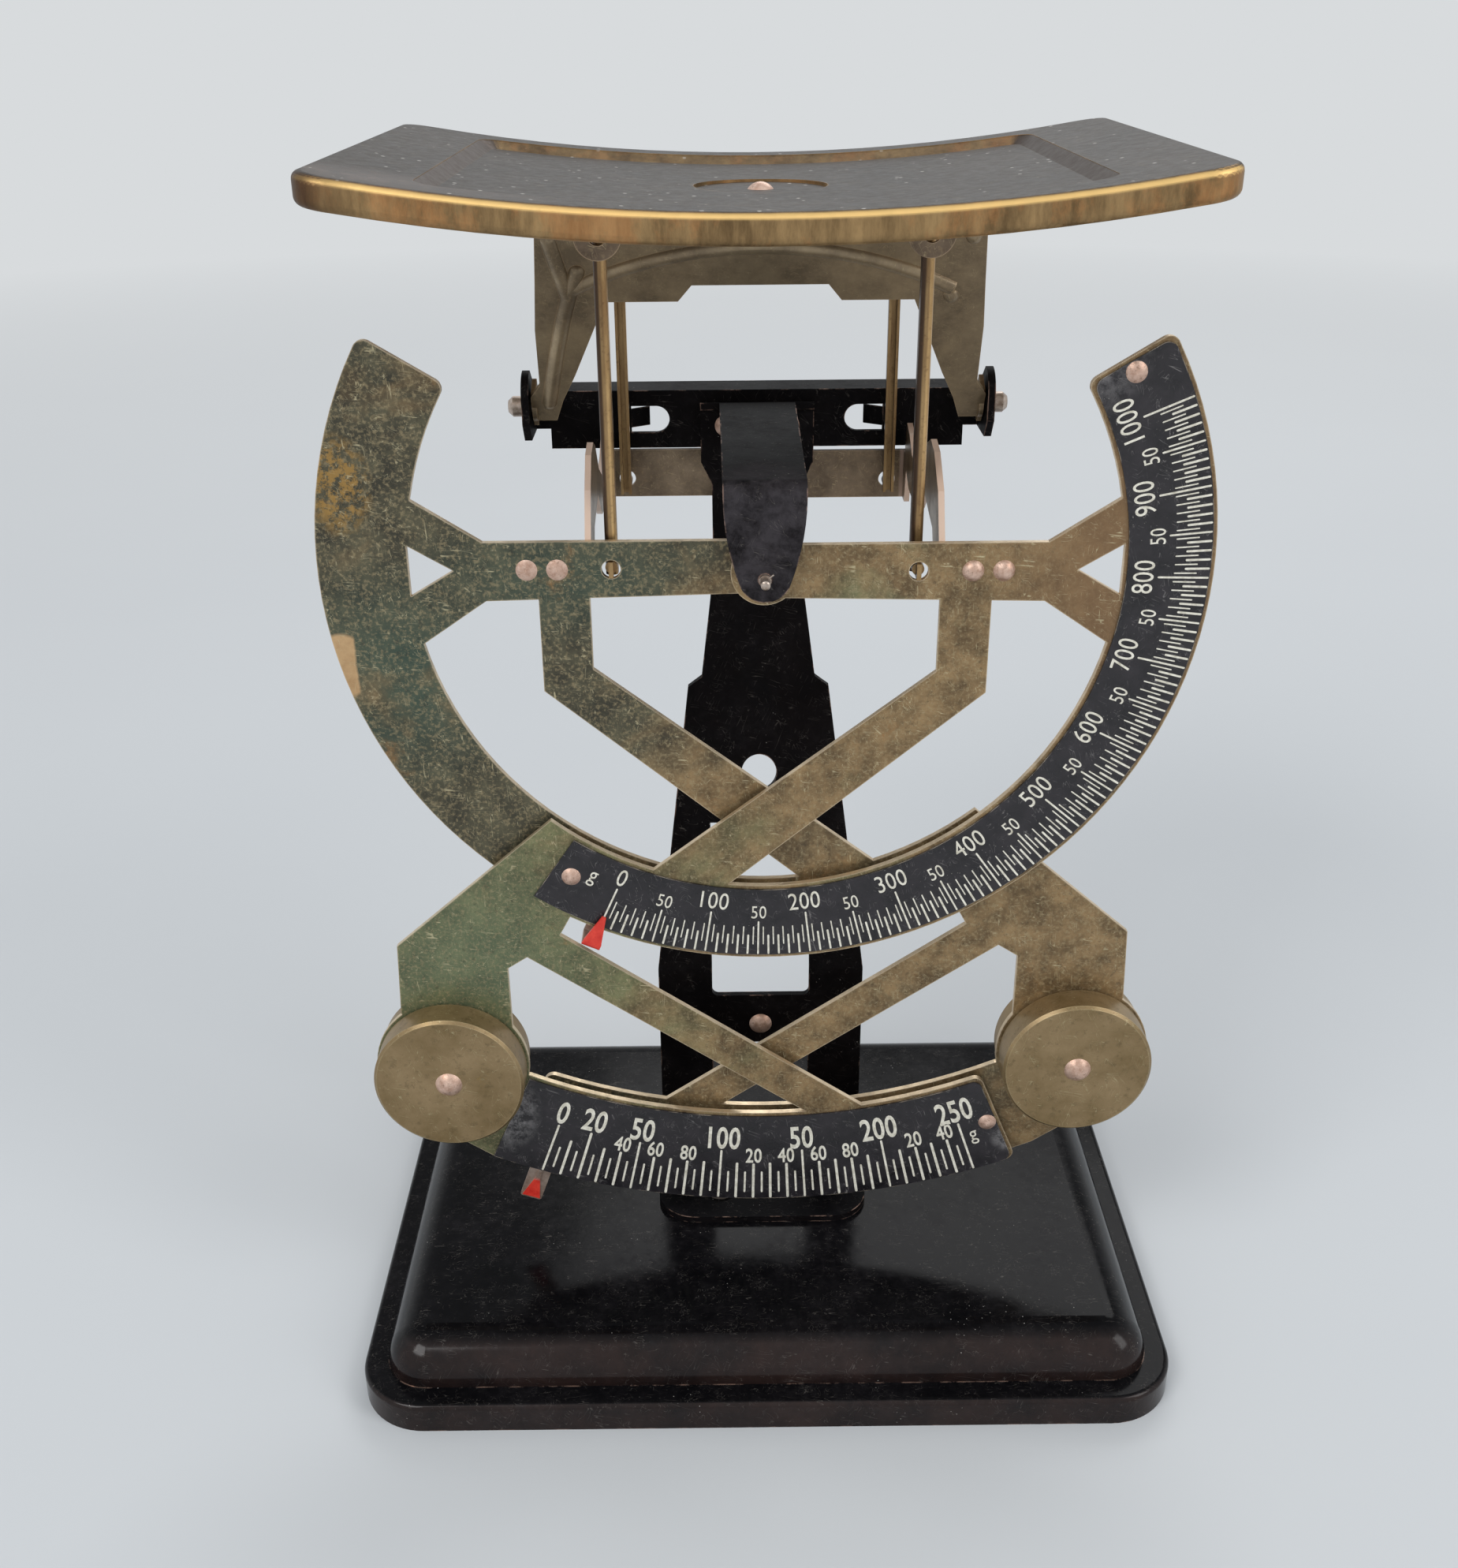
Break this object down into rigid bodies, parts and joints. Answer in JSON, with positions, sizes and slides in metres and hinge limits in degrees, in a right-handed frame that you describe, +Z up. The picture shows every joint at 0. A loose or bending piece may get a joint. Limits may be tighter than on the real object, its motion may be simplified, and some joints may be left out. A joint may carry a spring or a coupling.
{
  "type": "postal scale",
  "caption": "Pendulum letter scale with a dished pan, two counter-swinging quadrant plates with dials and weights, and a black column on a stepped base.",
  "frame": {"origin": "centre of the base's outline on the surface it stands on", "axes": "+Z up, +X to the right seen from the dials, +Y from the dials towards the column's back"},
  "size_m": [0.179, 0.13, 0.2547],
  "materials": {
    "black_lacquer": "glossy black lacquer on sheet steel, worn to bare metal along the edges",
    "patinated_brass": "bronzed brass sheet with green and brown patina, scratched, bright at the edges",
    "scale_black": "black painted label sheet with cream engraved figures",
    "copper_rivet": "coppery rivet heads, dull",
    "steel": "turned steel, slightly tarnished",
    "weight_brass": "dull olive brass with a brighter rim",
    "pan_brass": "dark worn pan top with golden edges and orange streaked flange",
    "pointer_brass": "brass strip with a red painted tip"
  },
  "bodies": {
    "stand": {"base_shell": "black_lacquer", "base_plate": "black_lacquer", "column": "black_lacquer", "bridge_rivet": "copper_rivet", "foot_screws": "steel", "foot_nuts": "steel", "cross_bar": "black_lacquer", "bar_rivets": "copper_rivet", "hinge_pins": "steel", "main_axle": "steel", "axle_spacers": "steel", "axle_clips": "steel"},
    "front_pendulum": {"front_quadrant": "patinated_brass", "upper_scale": "scale_black", "lower_scale": "scale_black", "scale_rivets": "copper_rivet", "right_bracket": "patinated_brass", "right_bracket_rivets": "copper_rivet", "left_weight_front": "weight_brass", "left_weight_rear": "weight_brass", "left_weight_rivet": "copper_rivet"},
    "rear_pendulum": {"rear_quadrant": "patinated_brass", "left_bracket": "patinated_brass", "left_bracket_rivets": "copper_rivet", "right_weight_front": "weight_brass", "right_weight_rear": "weight_brass", "right_weight_rivet": "copper_rivet", "upper_pointer": "pointer_brass", "lower_pointer": "pointer_brass", "pointer_rivets": "copper_rivet"},
    "right_struts": {"right_front_strut": "patinated_brass", "right_rear_strut": "patinated_brass"},
    "left_struts": {"left_front_strut": "patinated_brass", "left_rear_strut": "patinated_brass"},
    "pan": {"pan": "pan_brass", "pan_rivet": "copper_rivet", "pan_carrier": "patinated_brass"},
    "guide_yoke": {"guide_yoke": "patinated_brass"}
  },
  "joints": [
    {"name": "front_swing", "type": "hinge", "parent": "stand", "child": "front_pendulum", "pos_m": [0, 0, 0.18], "axis": [0, 1, 0], "range_deg": [0, 68.5]},
    {"name": "rear_swing", "type": "hinge", "parent": "stand", "child": "rear_pendulum", "pos_m": [0, 0, 0.18], "axis": [0, 1, 0], "range_deg": [-68.7, 0.2]},
    {"name": "pan_drop", "type": "slide", "parent": "stand", "child": "pan", "axis": [0, 0, -1], "range_m": [-0.0001, 0.03046]},
    {"name": "right_link", "type": "hinge", "parent": "front_pendulum", "child": "right_struts", "pos_m": [0.0295, 0, 0.18], "axis": [0, 1, 0], "range_deg": [-51.11, 0.3]},
    {"name": "left_link", "type": "hinge", "parent": "rear_pendulum", "child": "left_struts", "pos_m": [-0.0295, 0, 0.18], "axis": [0, 1, 0], "range_deg": [-0.3, 51.11]},
    {"name": "yoke_fold", "type": "hinge", "parent": "stand", "child": "guide_yoke", "pos_m": [0, 0.033, 0.1993], "axis": [1, 0, 0], "range_deg": [-0.3, 43.48]}
  ],
  "couplings": [
    {"joint": "rear_swing", "follows": "front_swing", "ratio": -1},
    {"joint": "pan_drop", "follows": "front_swing", "m_per_rad": 0.02539},
    {"joint": "right_link", "follows": "front_swing", "ratio": -0.74175},
    {"joint": "left_link", "follows": "front_swing", "ratio": 0.74175},
    {"joint": "yoke_fold", "follows": "front_swing", "ratio": 0.63039}
  ]
}
